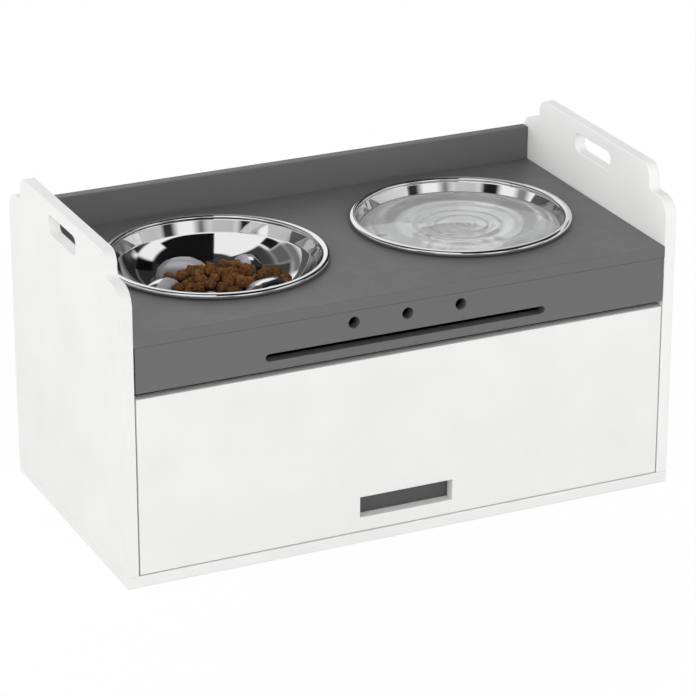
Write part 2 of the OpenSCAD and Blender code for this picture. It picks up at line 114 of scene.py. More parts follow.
class FeederBowls(bpy.types.PropertyGroup):
    steel: paint("Steel", "Colour of the polished steel", "E9E9EA")
    satin: paint("Satin steel", "Colour of the blasted ridges of the slow feeder", "C6C5CD")
    rim_width: length("Rim width", "Width of the rolled rim", 7, 9, 8)
    rim_gap: length("Rim gap", "Height of the shadow gap under the curled outer edge of the rim", 0, 2, 0.8)
    upper_taper: length("Upper taper", "Amount by which the upper wall tapers in above the step", 3, 8, 5)
    step_below_rim: length(
        "Step below rim", "Depth of the step in the wall below the rim's middle", 8, 20, 14.3)
    floor_radius: length(
        "Floor radius", "Radius of the flat floor, where the curved lower wall begins", 40, 60, 45)
    thickness: length("Steel thickness", "Thickness of the pressed steel", 0.5, 1.5, 1)
    ridge_count: IntProperty(
        name="Ridges", description="Number of stamped ridges in the pinwheel", min=3, max=5, default=5)
    ridge_orbit: length(
        "Ridge orbit", "Distance from the bowl's centre to the middle of each ridge", 50, 60, 57)
    ridge_length: length("Ridge length", "Length of each ridge", 40, 56, 54)
    ridge_radius: length("Ridge radius", "Radius of the round crest of each ridge", 8, 13, 12.5)
    ridge_height: length("Ridge height", "Height of each ridge above the bowl's floor", 20, 34, 30)
    ridge_arch: length("Ridge arch", "Fall of each crest from its middle to the ridge's ends", 6, 18, 14)
    ridge_swirl: turn_by("Ridge swirl", "Turn of each ridge away from the bowl's radius", 50)
    ridge_phase: turn_by("Ridge phase", "Direction of the first ridge", 101.7)


class FeederFilling(bpy.types.PropertyGroup):
    kibble: paint("Kibble", "Middle colour of the kibble", "8C5A22")
    kibble_count: IntProperty(
        name="Kibble count", description="Number of pieces of kibble", min=1, max=220, default=170)
    kibble_radius: length("Kibble radius", "Mean radius of a piece of kibble", 5, 8, 7.1)
    kibble_seed: IntProperty(name="Kibble seed", description="Seed of the heap", min=0, default=7)
    water_depth: length(
        "Water below rim", "Depth of the water's surface below the rim's top", 10, 40, 14.5)
    ripple_height: length("Ripple height", "Height of the ripples in the water", 0, 2, 0.45)


class FeederStage(bpy.types.PropertyGroup):
    azimuth: turn_by("Camera azimuth", "Turn of the camera about the feeder, from straight in front", -24.88)
    elevation: turn_by("Camera elevation", "Height angle of the camera", 22.47)
    distance: FloatProperty(
        name="Camera distance", description="Distance of the camera from its target",
        subtype="DISTANCE", unit="LENGTH", default=3.25)
    lens: FloatProperty(
        name="Lens", description="Focal length in millimetres on a 36 mm sensor", unit="CAMERA",
        default=173.08)
    horizon: light("Horizon strength", "Strength of the white dome low round the feeder", 4, 1.8)
    zenith: light("Zenith strength", "Strength of the white dome straight above the feeder", 4, 0.4)
    key: light("Key power", "Power in watts of the large soft lamp in front at the left", 200, 4, "POWER")
    fill_power: light(
        "Fill power", "Power in watts of the small lamp for the right panel's inner face", 20, 2, "POWER")


# ---------------------------------------------------------------- nodes


def add(tree, kind, settings=None, inputs=None):
    """Adds a node. settings are its properties; inputs are values, or another node's sockets to link."""
    node = tree.nodes.new(kind)
    for name, value in (settings or {}).items():
        setattr(node, name, value)
    for name, value in (inputs or {}).items():
        if isinstance(value, bpy.types.NodeSocket):
            tree.links.new(value, node.inputs[name])
        else:
            node.inputs[name].default_value = value
    return node


def bare_tree(owner):
    """The emptied node tree of a new material or world."""
    owner.use_nodes = True
    owner.node_tree.nodes.clear()
    return owner.node_tree


def calc(tree, operation, *values):
    """The result of a Math node on numbers or sockets."""
    return add(tree, "ShaderNodeMath", {"operation": operation}, dict(enumerate(values))).outputs[0]


def scaled(tree, vector, factor):
    """A vector times a number."""
    return add(tree, "ShaderNodeVectorMath", {"operation": "SCALE"},
               {"Vector": vector, "Scale": factor}).outputs[0]


def mix(tree, factor, a, b):
    """A number that passes from a to b."""
    return add(tree, "ShaderNodeMix", {"data_type": "FLOAT"}, {0: factor, 2: a, 3: b}).outputs[0]


def mix_colours(tree, factor, a, b, blend="MIX"):
    return add(tree, "ShaderNodeMix", {"data_type": "RGBA", "blend_type": blend},
               {0: factor, 6: a, 7: b}).outputs[2]


def spread(tree, value, low, high, start=0.0, end=1.0):
    """A value between start and end, mapped onto low to high."""
    return add(tree, "ShaderNodeMapRange", None,
               {"Value": value, "From Min": start, "From Max": end, "To Min": low,
                "To Max": high}).outputs["Result"]


def noise_of(tree, place, size, settings=None, **inputs):
    """A noise whose patches are about size millimetres across."""
    return add(tree, "ShaderNodeTexNoise", settings,
               {"Vector": place, "Scale": 1 / (size * MM), **inputs}).outputs["Fac"]


def cells_of(tree, place, size):
    """Cells that are about size millimetres across."""
    return add(tree, "ShaderNodeTexVoronoi", None, {"Vector": place, "Scale": 1 / (size * MM)}).outputs


def kept_values(tree, name):
    """The numbers that a mesh keeps under a name, point by point."""
    return add(tree, "ShaderNodeAttribute", {"attribute_name": name}).outputs["Fac"]


def bumps(tree, height, strength, depth, under=None):
    """The normal of a skin with bumps depth millimetres high, laid over another where under gives one."""
    inputs = {"Height": height, "Strength": strength, "Distance": depth * MM}
    if under:
        inputs["Normal"] = under
    return add(tree, "ShaderNodeBump", None, inputs).outputs["Normal"]


def ramp_between(tree, factor, *stops):
    """A colour ramp through the given (position, linear colour) stops."""
    ramp = add(tree, "ShaderNodeValToRGB", None, {"Fac": factor})
    elements = ramp.color_ramp.elements
    while len(elements) < len(stops):
        elements.new(0.5)
    for element, (position, colour) in zip(elements, stops):
        element.position = position
        element.color = rgba(colour)
    return ramp.outputs["Color"]


def shade(colour, factor):
    return tuple(min(1.0, c * factor) for c in colour)


# ---------------------------------------------------------------- finishes


def new_finish(name, stretch=(1, 1, 1), **constants):
    """A material with a Principled shader whose sockets hold the given constants, and the place vector of
    its patterns: object coordinates, stretched where a pattern runs along one direction."""
    material = bpy.data.materials.new(name)
    tree = bare_tree(material)
    shader = add(tree, "ShaderNodeBsdfPrincipled", None,
                 {socket.replace("_", " "): value for socket, value in constants.items()})
    add(tree, "ShaderNodeOutputMaterial", None, {"Surface": shader.outputs["BSDF"]})
    coords = add(tree, "ShaderNodeTexCoord")
    place = add(tree, "ShaderNodeMapping", {"vector_type": "POINT"},
                {"Vector": coords.outputs["Object"], "Scale": stretch})
    return material, tree, shader, place.outputs["Vector"]


def wire(tree, shader, **sockets):
    """Links sockets to the shader's inputs of the same names."""
    for name, socket in sockets.items():
        tree.links.new(socket, shader.inputs[name.replace("_", " ")])


def sprayed_lacquer(name, colour, roughness):
    """Satin polyurethane lacquer sprayed on MDF: an even colour with hardly visible clouds where the
    coat is thicker, a soft sheen, and the faint ripple that sprayed paint dries with (orange peel)."""
    material, tree, shader, place = new_finish(name, IOR=1.5)
    clouds = noise_of(tree, place, 70, Detail=3.0, Roughness=0.5)
    # The sheen changes a little, as the spray gun's passes overlap
    patches = noise_of(tree, place, 15, Detail=2.0)
    # Orange peel, a few micrometres high
    peel = noise_of(tree, place, 3, Detail=2.0, Roughness=0.4)
    wire(tree, shader,
         Base_Color=ramp_between(tree, clouds, (0.3, shade(colour, 0.975)), (0.7, shade(colour, 1.015))),
         Roughness=spread(tree, patches, roughness - 0.04, roughness + 0.04, 0.3, 0.7),
         Normal=bumps(tree, peel, 0.35, 0.02))
    return material


def polished_stainless(name, colour, satin):
    """Pressed 18/8 stainless steel, mirror polished on a wheel: sharp reflections with a trace of haze
    from the polishing, and satin where the mesh attribute "satin" marks the blasted ridges."""
    material, tree, shader, place = new_finish(name, Metallic=1.0)
    mask = kept_values(tree, "satin")
    # Haze of the polishing wheel
    haze = spread(tree, noise_of(tree, place, 20, Detail=4.0), 0.03, 0.06, 0.3, 0.7)
    # Glass bead blasting leaves dimples of about 0.5 mm on the ridges, drawn at 1 mm so that they show
    dimples = calc(tree, "MULTIPLY", noise_of(tree, place, 1, Detail=2.0), mask)
    # The blasted skin scatters light like a matt grey, and so it is only half a mirror
    wire(tree, shader,
         Base_Color=mix_colours(tree, mask, rgba(colour), rgba(satin)),
         Metallic=spread(tree, mask, 1.0, 0.4),
         Roughness=mix(tree, mask, haze, 0.42),
         Normal=bumps(tree, dimples, 0.4, 0.03))
    return material


def extruded_kibble(name, colour):
    """Extruded and baked dog kibble: matt brown, porous, each piece a little lighter, darker or
    greener than the next, with a thin fat coat that gives it a dull shine."""
    material, tree, shader, place = new_finish(name, IOR=1.45, Specular_IOR_Level=0.35)
    greener = (colour[0] * 0.9, colour[1] * 1.15, colour[2] * 0.9)
    own = ramp_between(tree, kept_values(tree, "tint"), (0.0, shade(colour, 0.55)),
                       (0.35, shade(colour, 0.85)), (0.7, colour), (0.85, greener), (1.0, shade(colour, 1.35)))
    # Crumbs, darker in the hollows of their bump: partly baked spots, partly painted shade in the crevices
    # between crumbs
    crumbs = noise_of(tree, place, 2.5, Detail=5.0, Roughness=0.65)
    baked = ramp_between(tree, crumbs, (0.36, (0.22, 0.18, 0.16)), (0.62, (1.1, 1.1, 1.1)))
    # Pores of the puffed dough
    pores = bumps(tree, cells_of(tree, place, 1.2)["Distance"], 0.5, 0.4)
    wire(tree, shader,
         Base_Color=mix_colours(tree, 1.0, own, baked, "MULTIPLY"),
         Roughness=spread(tree, crumbs, 0.72, 0.5),
         Normal=bumps(tree, crumbs, 0.8, 1.0, pores))
    return material


def poured_water(name):
    """Tap water just poured: a mirror-smooth skin that small waves run over, and under it a haze of fine
    air bubbles that makes the water pale and half hides the steel."""
    material, tree, shader, place = new_finish(
        name, IOR=1.333, Roughness=0.02, Transmission_Weight=0.76, Base_Color=(0.985, 0.99, 0.99, 1.0))
    wire(tree, shader, Normal=bumps(tree, noise_of(tree, place, 14, Detail=1.0, Roughness=0.4), 0.3, 0.12))
    return material


def planed_pine(name, stretch):
    """Planed pine, left bare: pale yellow spring wood between narrow darker lines of summer wood,
    with the fine streaks of cut fibres. stretch runs the grain along the piece."""
    material, tree, shader, place = new_finish(name, stretch, IOR=1.5, Specular_IOR_Level=0.3)
    # Year rings, about 5 mm apart on the planed face
    bend = noise_of(tree, place, 30, Detail=2.0)
    rings = noise_of(tree, place, 8, {"noise_dimensions": "4D"}, W=bend, Detail=1.0, Distortion=0.6)
    wood = ramp_between(tree, rings, (0.3, linear("C89A62")), (0.45, linear("E2C391")),
                        (0.6, linear("EBD1A4")), (0.75, linear("CFA36B")))
    fibres = noise_of(tree, place, 0.8, Detail=3.0)
    streaks = ramp_between(tree, fibres, (0.3, (0.86, 0.84, 0.82)), (0.7, (1.04, 1.04, 1.04)))
    wire(tree, shader,
         Base_Color=mix_colours(tree, 1.0, wood, streaks, "MULTIPLY"),
         Roughness=spread(tree, fibres, 0.68, 0.52),
         Normal=bumps(tree, fibres, 0.5, 0.06))
    return material


def pressed_hardboard(name):
    """Hardboard pressed from wood fibre, smooth side up: brown, with darker and lighter fibres that
    lie every way, and a slight shine from the hot plate."""
    material, tree, shader, place = new_finish(name, IOR=1.5)
    # Fibre bundles, in clouds
    fibres = noise_of(tree, place, 2, Detail=5.0, Roughness=0.7, Distortion=1.5)
    clouds = noise_of(tree, place, 25, Detail=2.0)
    both = calc(tree, "MULTIPLY_ADD", clouds, 0.35, fibres)
    wire(tree, shader,
         Base_Color=ramp_between(tree, both, (0.45, linear("6E4A2C")), (0.68, linear("8F6640")),
                                 (0.95, linear("AD8457"))),
         Roughness=spread(tree, fibres, 0.5, 0.38),
         Normal=bumps(tree, fibres, 0.4, 0.05))
    return material


def zinc_plated_steel(name):
    """Steel fittings with bright zinc plating: cool light grey metal, softly blurred reflections that
    differ from crystal to crystal."""
    material, tree, shader, place = new_finish(name, Metallic=1.0)
    # Zinc crystals, drawn so large that they show on a screw head
    crystals = cells_of(tree, place, 1.2)["Color"]
    own = add(tree, "ShaderNodeSeparateColor", None, {"Color": crystals}).outputs["Red"]
    wire(tree, shader,
         Base_Color=ramp_between(tree, own, (0.0, linear("B4B9BF")), (1.0, linear("CFD3D6"))),
         Roughness=spread(tree, own, 0.26, 0.4))
    return material


# ---------------------------------------------------------------- pieces and meshes


def add_object(name, data):
    thing = bpy.data.objects.new(name, data)
    bpy.context.scene.collection.objects.link(thing)
    return thing


def mesh_object(name, points, faces, smooth=True):
    mesh = bpy.data.meshes.new(name)
    mesh.from_pydata(points, [], faces)
    mesh.validate()
    if smooth:
        mesh.shade_smooth()
    return add_object(name, mesh)


def plain_mesh(piece):
    """Turns a piece and its modifiers into a plain mesh, and removes the modifiers."""
    bpy.context.view_layer.update()
    evaluated = piece.evaluated_get(bpy.context.evaluated_depsgraph_get())
    mesh = bpy.data.meshes.new_from_object(evaluated)
    piece.modifiers.clear()
    piece.data = mesh
    mesh.name = piece.name


def face_outwards(mesh):
    """Turns the faces of a closed mesh outwards."""
    bm = bmesh.new()
    bm.from_mesh(mesh)
    bmesh.ops.recalc_face_normals(bm, faces=bm.faces)
    bm.to_mesh(mesh)
    bm.free()


def place_attribute(mesh, name, values, kind="FLOAT"):
    """Keeps a number, or three of them for a FLOAT_VECTOR, at every point of a mesh."""
    layer = mesh.attributes.new(name, kind, "POINT").data
    layer.foreach_set("value" if kind == "FLOAT" else "vector", values)


def repaint(piece, material):
    piece.data.materials.clear()
    piece.data.materials.append(material)


def finish_piece(piece, body, material=None):
    """Gives a piece its body, and a material if it doesn't have its own yet."""
    if material:
        repaint(piece, material)
    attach(piece, body)


def circle(radius, z, count):
    """Points round the vertical axis."""
    return [(radius * math.cos(math.tau * i / count), radius * math.sin(math.tau * i / count), z)
            for i in range(count)]


def band(a, b, count):
    """Faces between two rings of count points, whose first points have the indices a and b."""
    return [(a + i, a + (i + 1) % count, b + (i + 1) % count, b + i) for i in range(count)]


# ---------------------------------------------------------------- painted boards

OUTER_PLANE = 0.02 * MM  # How near a point lies to a plane that it is in
HOLE_RING = 20 * MM  # Edges that ring a smaller hole, as those for fittings, stay sharp
APRON_HOLE_RING = 11 * MM  # The apron's own round holes are 12 mm wide
FLAT_AREA = (12 * MM) ** 2  # Smallest area of a face that is shaded flat


def outer_loops(bm, low, high, smallest):
    """The sharp edges that lie in a board's outer planes, left out where they ring a hole for a fitting."""
    def is_outer(edge):
        return any(all(abs(v.co[i] - p[i]) < OUTER_PLANE for v in edge.verts)
                   for i in range(3) for p in (low, high))

    # A dict keeps the edges in the same order each run, as a set doesn't
    chosen = dict.fromkeys(edge for edge in bm.edges if len(edge.link_faces) == 2
                           and edge.calc_face_angle(0) >= math.radians(25) and is_outer(edge))
    kept, seen = [], set()
    for start in chosen:
        if start in seen:
            continue
        ring, queue = [], [start]
        seen.add(start)
        while queue:
            edge = queue.pop()
            ring.append(edge)
            for v in edge.verts:
                for other in v.link_edges:
                    if other in chosen and other not in seen:
                        seen.add(other)
                        queue.append(other)
        points = [v.co for e in ring for v in e.verts]
        reach = max(max(p[i] for p in points) - min(p[i] for p in points) for i in range(3))
        if reach > smallest:
            kept.extend(ring)
    return kept


def even_normals(mesh):
    """Keeps the board's large faces flat right up to their rounded edges."""
    def plane(face):
        return (*(round(c, 3) for c in face.normal), round(face.normal.dot(face.center), 5))

    areas = {}
    for face in mesh.polygons:
        areas[plane(face)] = areas.get(plane(face), 0.0) + face.area
    flat_at = {}
    for face in mesh.polygons:
        if areas[plane(face)] > FLAT_AREA:
            for i in face.vertices:
                flat_at.setdefault(i, []).append(face.normal.copy())
    normals = []
    for face in mesh.polygons:
        for i in face.vertices:
            near = [n for n in flat_at.get(i, ()) if n.dot(face.normal) > 0.6]
            normals.append(max(near, key=face.normal.dot) if near else Vector((0.0, 0.0, 0.0)))
    mesh.normals_split_custom_set(normals)


def from_lowest(corners):
    """A face's corners, beginning with the lowest index."""
    first = corners.index(min(corners))
    return corners[first:] + corners[:first]


def eased_board(node, radius):
    """A board whose outer edges are sanded round before painting, in place of the CAD node's sharp one."""
    low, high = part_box(node)
    bm = bmesh.new()
    bm.from_mesh(NODES[node].data)
    bmesh.ops.remove_doubles(bm, verts=bm.verts, dist=0.002 * MM)
    bmesh.ops.dissolve_limit(bm, angle_limit=math.radians(0.4), verts=bm.verts, edges=bm.edges)
    edges = outer_loops(bm, low, high, APRON_HOLE_RING if node == "front_apron" else HOLE_RING)
    bmesh.ops.bevel(bm, geom=edges, offset=radius, offset_type="OFFSET", segments=3, profile=0.5,
                    affect="EDGES", clamp_overlap=True)
    bmesh.ops.triangulate(bm, faces=[f for f in bm.faces if len(f.verts) > 4])
    # The bevel gives its faces in another order each run, so they are put in a fixed one
    points = [v.co[:] for v in bm.verts]
    faces = sorted(from_lowest([v.index for v in f.verts]) for f in bm.faces)
    bm.free()
    board = mesh_object(node + "_eased", points, faces)
    board.data.set_sharp_from_angle(angle=math.radians(40))
    even_normals(board.data)
    return board


# ---------------------------------------------------------------- pressed bowls

AROUND = 240  # Divisions round a bowl
FLOOR_EDGE = 88 * MM  # Radius within which a bowl is divided round the feet of its ridges
RIM_SEAT = 0.3 * MM  # Gap between the board and the rim
RIM_HALF = 3 * MM  # Half the height of the rim
RIM_OVERLAP = 0.5 * MM  # How far the wall runs into the rim
STEP_BEND = 0.9 * MM  # Length over which the wall bends on each side of its step
WELD = 0.02 * MM


def rounded_corner(before, corner, after, radius, steps=5):
    """Points of a small arc that rounds one corner of a section."""
    a, b, c = Vector(before), Vector(corner), Vector(after)
    start, end = b + (a - b).normalized() * radius, b + (c - b).normalized() * radius
    return [tuple(start * (1 - t) ** 2 + b * 2 * t * (1 - t) + end * t * t)
            for t in (i / steps for i in range(steps + 1))]


def arc_radius(reach, rise):
    """Radius of the arc that leaves the level, reach away from where it has risen by rise."""
    return (reach**2 + rise**2) / (2 * rise)


def wall_section(bowls, floor_z, rim_z, mouth):
    """The inside of a bowl's wall as (radius, height) points, from the floor's edge up into the rim."""
    step_r = mouth - bowls.upper_taper
    step_z = rim_z - bowls.step_below_rim
    reach = step_r - bowls.floor_radius
    curve = arc_radius(reach, step_z - floor_z)
    slope = math.asin(reach / curve)
    steps = 36
    lower = [(bowls.floor_radius + curve * math.sin(a), floor_z + curve - curve * math.cos(a))
             for a in (slope * i / steps for i in range(steps))]
    bend = rounded_corner(lower[-1], (step_r, step_z), (mouth, rim_z), STEP_BEND)
    end_r, end_z = bend[-1]
    upper = [(end_r + (mouth - end_r) * t, end_z + (rim_z - end_z) * t) for t in (0.05, 0.3, 0.6, 0.85, 1.0)]
    return lower + bend + upper


def bowl_inside(node, bowls, rim_half=RIM_HALF):
    """A bowl's middle, the radius and height of its rim, the height of its floor and its wall's section."""
    low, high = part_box(node)
    rim_r, rim_z = (high.x - low.x) / 2, high.z - rim_half
    floor_z = low.z + bowls.thickness
    section = wall_section(bowls, floor_z, rim_z, rim_r - bowls.rim_width + RIM_OVERLAP)
    return (low + high) / 2, rim_r, rim_z, floor_z, section


def wall_height(section, floor_z, r):
    """Height of the inside of a bowl at a distance from its axis."""
    before = (0.0, floor_z)
    for point in section:
        if r <= point[0]:
            t = (r - before[0]) / max(point[0] - before[0], 1e-9)
            return before[1] + t * (point[1] - before[1])
        before = point
    return section[-1][1]


def wall_normal(bowls, section, x, y):
    """The upward normal of the inside of a bowl at a place."""
    (floor_r, floor_z), (mouth, rim_z) = section[0], section[-1]
    step_r = mouth - bowls.upper_taper
    r = math.hypot(x, y)
    if r <= floor_r:
        return Vector((0.0, 0.0, 1.0))
    if r < step_r:
        curve = arc_radius(step_r - floor_r, rim_z - bowls.step_below_rim - floor_z)
        slope = math.asin((r - floor_r) / curve)
    else:
        slope = math.atan2(bowls.step_below_rim, bowls.upper_taper)
    return Vector((-x / r * math.sin(slope), -y / r * math.sin(slope), math.cos(slope)))


def spun(section, count):
    """Points and faces of a section of (radius, height) points that is spun about the vertical axis."""
    points = [p for r, z in section for p in circle(r, z, count)]
    faces = [f for k in range(len(section) - 1) for f in band(k * count, (k + 1) * count, count)]
    return points, faces


def rim_section(bowls, rim_r, rim_z, rim_h):
    """The rolled rim: flat-topped, with a fine crease where the wall bends over into it, and with its outer
    lower edge curled in, which leaves a shadow gap above the board."""
    half = bowls.rim_width / 2
    squareness = 0.84  # 1 would be an ellipse, less is fuller at the corners
    crease_x, crease_width, crease_depth = -1.6 * MM, 0.3 * MM, 0.26 * MM
    points = []
    count = 64
    for i in range(count):
        a = math.tau * i / count
        x = half * math.copysign(abs(math.cos(a)) ** squareness, math.cos(a))
        z = rim_h / 2 * math.copysign(abs(math.sin(a)) ** squareness, math.sin(a))
        crease = crease_depth * math.exp(-(((x - crease_x) / crease_width) ** 2)) if z > 0 else 0
        if x > 0:
            z = max(z, bowls.rim_gap - rim_h / 2)
        points.append((rim_r - half + x, rim_z + z - crease))
    return points


def soft_minimum(a, b, width):
    """The lower of two heights, with a smooth passage from one to the other."""
    share = min(1.0, max(0.0, 0.5 + 0.5 * (b - a) / width))
    return b + (a - b) * share - width * share * (1 - share) / 2


def ridge_stamp(bowls, floor_z):
    """One stamped ridge about the origin: fillet at the floor, steep flank, and a round crest that falls in
    an arch to both ends. Gives its points, faces, satin marks, half width at the foot and outline there."""
    r = bowls.ridge_radius
    half = bowls.ridge_length / 2
    reach = half - r
    axis_z = floor_z + bowls.ridge_height - r
    arch_r = arc_radius(half, bowls.ridge_arch)
    arch_z = floor_z + bowls.ridge_height - arch_r
    foot = r + 3.6 * MM
    section = [(foot, floor_z), (foot - 0.9 * MM, floor_z + 0.25 * MM), (foot - 1.7 * MM, floor_z + 1.1 * MM),
               (foot - 2.2 * MM, floor_z + 2.6 * MM), (r + 0.75 * MM, floor_z + 7 * MM),
               (r + 0.25 * MM, axis_z - 3 * MM)]
    section += [(r * math.cos(t), axis_z + r * math.sin(t)) for t in (math.pi / 2 * i / 16 for i in range(17))]
    round_steps, straight_steps = 20, 16
    points, marks = [], []
    for offset, z in section:
        ring = []
        for end, side in ((reach, 1), (-reach, -1)):
            for a in (-math.pi / 2 + math.pi * i / round_steps for i in range(round_steps + 1)):
                ring.append((end + side * offset * math.cos(a), side * offset * math.sin(a)))
            ring.extend((end - 2 * end * i / straight_steps, side * offset) for i in range(1, straight_steps))
        for x, y in ring:
            arch = arch_z + math.sqrt(max(0.0, arch_r**2 - x * x - y * y))
            points.append((x, y, soft_minimum(z, arch, 3 * MM) if z > axis_z - 4 * MM else z))
            # Satin towards the middle of the bowl, but for the polished foot and the line along the crest
            polished = z - floor_z < 1.4 * MM or offset < 0.1 * r
            marks.append(0.0 if polished else min(1.0, max(0.0, 0.5 + y / (0.3 * r))))
    count = len(points) // len(section)
    faces = [f for k in range(len(section) - 1) for f in band(k * count, (k + 1) * count, count)]
    return points, faces, marks, foot, points[:count]


def ridge_places(bowls):
    """Middle and direction of each ridge of the pinwheel."""
    for i in range(bowls.ridge_count):
        a = bowls.ridge_phase + 2 * math.pi * i / bowls.ridge_count
        yield (bowls.ridge_orbit * math.cos(a), bowls.ridge_orbit * math.sin(a)), a + bowls.ridge_swirl


def from_ridge(bowls, x, y):
    """Distance in plan from a point to the nearest ridge's spine."""
    reach = bowls.ridge_length / 2 - bowls.ridge_radius
    nearest = 1.0
    for (cx, cy), turn in ridge_places(bowls):
        dx, dy = x - cx, y - cy
        along = dx * math.cos(turn) + dy * math.sin(turn)
        across = -dx * math.sin(turn) + dy * math.cos(turn)
        nearest = min(nearest, math.hypot(max(0.0, abs(along) - reach), across))
    return nearest


def bowl_floor(bowls, section, floor_z, holes, foot):
    """The floor inside FLOOR_EDGE, as triangles round the ridges' feet, following the bowl's height."""
    def ring(radius, number):
        return [Vector(p[:2]) for p in circle(radius, 0.0, number)]

    flat, edges = [], []
    for loop in (ring(FLOOR_EDGE, AROUND), *holes):
        first = len(flat)
        flat.extend(Vector(p) for p in loop)
        edges.extend((first + i, first + (i + 1) % len(loop)) for i in range(len(loop)))
    rings = 30
    for radius in (FLOOR_EDGE * k / rings for k in range(1, rings)):
        number = AROUND // (2 if radius > 0.5 * FLOOR_EDGE else 4)
        flat.extend(p for p in ring(radius, number)
                    if not holes or from_ridge(bowls, p.x, p.y) > foot + 1.5 * MM)
    flat.append(Vector((0.0, 0.0)))
    out = geometry.delaunay_2d_cdt(flat, edges, [], 0, 1e-7)
    verts, faces = out[0], out[2]
    points = [(v.x, v.y, wall_height(section, floor_z, math.hypot(v.x, v.y))) for v in verts]
    kept = []
    for face in faces:
        c = sum((verts[i] for i in face), Vector((0.0, 0.0))) / len(face)
        if c.length < FLOOR_EDGE and not (holes and from_ridge(bowls, c.x, c.y) < foot - 0.01 * MM):
            kept.append(face)
    return points, kept


def fit_feet(mesh, section, floor_z, axis_z, others):
    """Lifts the ridges' flanks, which the stamp ends at the flat floor, so that they end at the curved wall."""
    count = len(mesh.vertices)
    ridges = range(count - others) if abs(mesh.vertices[0].co.z - floor_z) < 1e-6 else range(others, count)
    for i in ridges:
        place = mesh.vertices[i].co
        if place.z < axis_z:
            foot_z = wall_height(section, floor_z, math.hypot(place.x, place.y))
            place.z = foot_z + (place.z - floor_z) * (axis_z - foot_z) / (axis_z - floor_z)


def true_normals(mesh, bowls, section, floor_z, ridged, foot):
    """Gives the inside of the wall and floor the normals of their exact curve, so that they mirror cleanly."""
    mouth, slack = section[-1][0], 0.05 * MM
    normals = []
    for v in mesh.vertices:
        x, y, z = v.co
        r = math.hypot(x, y)
        on_wall = abs(z - wall_height(section, floor_z, r)) < slack and r < mouth - slack
        by_ridge = ridged and r < FLOOR_EDGE + 2 * MM and from_ridge(bowls, x, y) < foot + 0.1 * MM
        in_step = abs(r - mouth + bowls.upper_taper) < STEP_BEND - slack
        exact = on_wall and not by_ridge and not in_step
        normals.append(wall_normal(bowls, section, x, y) if exact else Vector((0.0, 0.0, 0.0)))
    mesh.normals_split_custom_set_from_vertices(normals)


def weld_sheet(mesh):
    """Joins the floor, wall and ridges to one sheet that faces up."""
    bm = bmesh.new()
    bm.from_mesh(mesh)
    bmesh.ops.remove_doubles(bm, verts=bm.verts, dist=WELD)
    bmesh.ops.dissolve_degenerate(bm, edges=bm.edges, dist=WELD / 4)
    bmesh.ops.recalc_face_normals(bm, faces=bm.faces)
    if sum(f.normal.z * f.calc_area() for f in bm.faces) < 0:
        bmesh.ops.reverse_faces(bm, faces=bm.faces)
    bm.to_mesh(mesh)
    bm.free()
    mesh.shade_smooth()


def pressed_bowl(context, node, body, ridged):
    """A bowl of thin steel about its own axis, with a rolled rim, in place of a CAD node."""
    bowls = context.scene.feeder_bowls
    rim_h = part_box(node)[1].z - (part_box("top_panel")[1].z + RIM_SEAT)
    axis, rim_r, rim_z, floor_z, section = bowl_inside(node, bowls, rim_h / 2)
    holes, foot = [], 0.0
    if ridged:
        stamp_points, stamp_faces, marks, foot, outline = ridge_stamp(bowls, floor_z)
        for (cx, cy), turn in ridge_places(bowls):
            c, s = math.cos(turn), math.sin(turn)
            holes.append([(cx + x * c - y * s, cy + x * s + y * c) for x, y, _ in outline])
    wall = [(FLOOR_EDGE, wall_height(section, floor_z, FLOOR_EDGE))]
    wall += [p for p in section if p[0] > FLOOR_EDGE + 0.2 * MM]
    points, faces = spun(wall, AROUND)
    floor_points, floor_faces = bowl_floor(bowls, section, floor_z, holes, foot)
    first = len(points)
    sheet = mesh_object(node + "_pressed", points + floor_points,
                        faces + [tuple(first + i for i in f) for f in floor_faces])
    place_attribute(sheet.data, "satin", [0.0] * len(sheet.data.vertices))
    steel = polished_stainless("polished_stainless_" + body, tuple(bowls.steel), tuple(bowls.satin))
    if ridged:
        stamp = mesh_object("ridge_stamp", stamp_points, stamp_faces)
        place_attribute(stamp.data, "satin", marks)
        grow(sheet, pinwheel_tree(), stamp=stamp, ridges=bowls.ridge_count, orbit=bowls.ridge_orbit,
             swirl=bowls.ridge_swirl, phase=bowls.ridge_phase, material=steel)
        bpy.data.objects.remove(stamp)
        fit_feet(sheet.data, section, floor_z, floor_z + bowls.ridge_height - bowls.ridge_radius,
                 len(points) + len(floor_points))
    weld_sheet(sheet.data)
    solid = sheet.modifiers.new("steel_thickness", "SOLIDIFY")
    solid.thickness = bowls.thickness
    solid.offset = -1
    plain_mesh(sheet)
    points, faces = spun(rim_section(bowls, rim_r, rim_z, rim_h), AROUND)
    roll = mesh_object(node + "_roll", points, faces + band(len(points) - AROUND, 0, AROUND))
    place_attribute(roll.data, "satin", [0.0] * len(points))
    face_outwards(roll.data)
    with context.temp_override(active_object=sheet, selected_editable_objects=[sheet, roll]):
        bpy.ops.object.join()
    sheet.data.shade_smooth()
    true_normals(sheet.data, bowls, section, floor_z, ridged, foot)
    sheet.data.transform(Matrix.Translation((axis.x, axis.y, 0)))
    finish_piece(sheet, body, steel)
    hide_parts(node)


# ---------------------------------------------------------------- geometry nodes


def node_group(name, sockets):
    """An empty geometry node tree with named inputs, and the group's input and output nodes."""
    tree = bpy.data.node_groups.new(name, "GeometryNodeTree")
    tree.interface.new_socket("Geometry", in_out="INPUT", socket_type="NodeSocketGeometry")
    for label, kind, default in sockets:
        socket = tree.interface.new_socket(label, in_out="INPUT", socket_type=kind)
        if default is not None:
            socket.default_value = default
    tree.interface.new_socket("Geometry", in_out="OUTPUT", socket_type="NodeSocketGeometry")
    return tree, add(tree, "NodeGroupInput")


